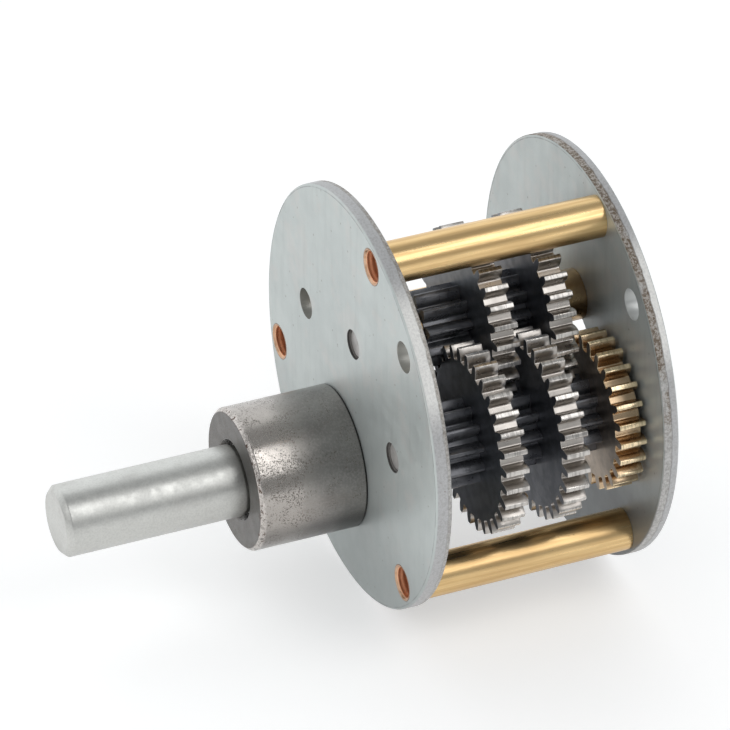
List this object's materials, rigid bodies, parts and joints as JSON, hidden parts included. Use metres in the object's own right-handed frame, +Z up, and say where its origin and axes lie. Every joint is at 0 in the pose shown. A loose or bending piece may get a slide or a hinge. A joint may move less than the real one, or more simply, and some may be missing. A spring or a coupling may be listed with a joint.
{
  "type": "offset spur gearbox",
  "caption": "Open multi-stage spur gear reducer between two round plates on brass pillars, with an offset output shaft in a long bush.",
  "frame": {"origin": "centre of the front plate's outer face, on the motor axis", "axes": "+Z up, every shaft along Y, -Y out along the output shaft, +Y towards the motor; it lies on its two round plates, leaning 16.2 degrees about Y as in the picture"},
  "size_m": [0.0354, 0.0458, 0.0354],
  "materials": {
    "zinc_plate": "zinc plated sheet steel, satin, with rust specks on the cut rim",
    "pillar_brass": "drawn brass, satin with long streaks",
    "pin_steel": "ground steel, dull ends",
    "sintered_bush": "sintered iron, oil dark with worn edges",
    "bronze_bush": "sintered bronze",
    "shim_steel": "rolled steel shim",
    "spacer_brass": "turned brass",
    "ground_steel": "centreless ground steel",
    "output_wheel_steel": "sintered steel, oiled",
    "black_oxide": "hobbed and hardened steel, black oxide",
    "wheel_steel": "bright hobbed teeth on dark faces",
    "wheel_brass": "hobbed brass, browned"
  },
  "bodies": {
    "housing": {"front_plate": "zinc_plate", "back_plate": "zinc_plate", "top_pillar": "pillar_brass", "left_pillar": "pillar_brass", "right_pillar": "pillar_brass", "lower_gear_pin": "pin_steel", "upper_gear_pin": "pin_steel", "front_bush": "sintered_bush", "rear_bush": "bronze_bush", "output_thrust_washer": "shim_steel", "lower_front_shim": "shim_steel", "lower_middle_shim": "shim_steel", "lower_rear_shim": "shim_steel", "lower_back_shim": "shim_steel", "upper_shim": "shim_steel", "upper_front_spacer": "spacer_brass", "upper_rear_spacer": "spacer_brass"},
    "output": {"output_shaft": "ground_steel", "output_wheel": "output_wheel_steel"},
    "fifth_cluster": {"fifth_pinion": "black_oxide", "fifth_wheel": "wheel_steel"},
    "fourth_cluster": {"fourth_pinion": "black_oxide", "fourth_wheel": "wheel_steel"},
    "third_cluster": {"third_pinion": "black_oxide", "third_wheel": "wheel_steel"},
    "second_cluster": {"second_pinion": "black_oxide", "second_wheel": "wheel_steel"},
    "first_cluster": {"first_pinion": "black_oxide", "first_wheel": "wheel_brass"}
  },
  "joints": [
    {"name": "output_turn", "type": "hinge", "parent": "housing", "child": "output", "pos_m": [-0.00218, -0.002, -0.007], "axis": [0, 1, 0], "continuous": true},
    {"name": "fifth_turn", "type": "hinge", "parent": "housing", "child": "fifth_cluster", "pos_m": [0.00874, 0.007, -0.00041], "axis": [0, 1, 0], "continuous": true},
    {"name": "fourth_turn", "type": "hinge", "parent": "housing", "child": "fourth_cluster", "pos_m": [0.00068, 0.008, 0.00551], "axis": [0, 1, 0], "continuous": true},
    {"name": "third_turn", "type": "hinge", "parent": "housing", "child": "third_cluster", "pos_m": [0.00874, 0.011, -0.00041], "axis": [0, 1, 0], "continuous": true},
    {"name": "second_turn", "type": "hinge", "parent": "housing", "child": "second_cluster", "pos_m": [0.00068, 0.0135, 0.00551], "axis": [0, 1, 0], "continuous": true},
    {"name": "first_turn", "type": "hinge", "parent": "housing", "child": "first_cluster", "pos_m": [0.00874, 0.0165, -0.00041], "axis": [0, 1, 0], "continuous": true}
  ],
  "couplings": [
    {"joint": "fifth_turn", "follows": "output_turn", "ratio": -3.25},
    {"joint": "fourth_turn", "follows": "output_turn", "ratio": 9.75},
    {"joint": "third_turn", "follows": "output_turn", "ratio": -29.25},
    {"joint": "second_turn", "follows": "output_turn", "ratio": 87.75},
    {"joint": "first_turn", "follows": "output_turn", "ratio": -263.25}
  ]
}
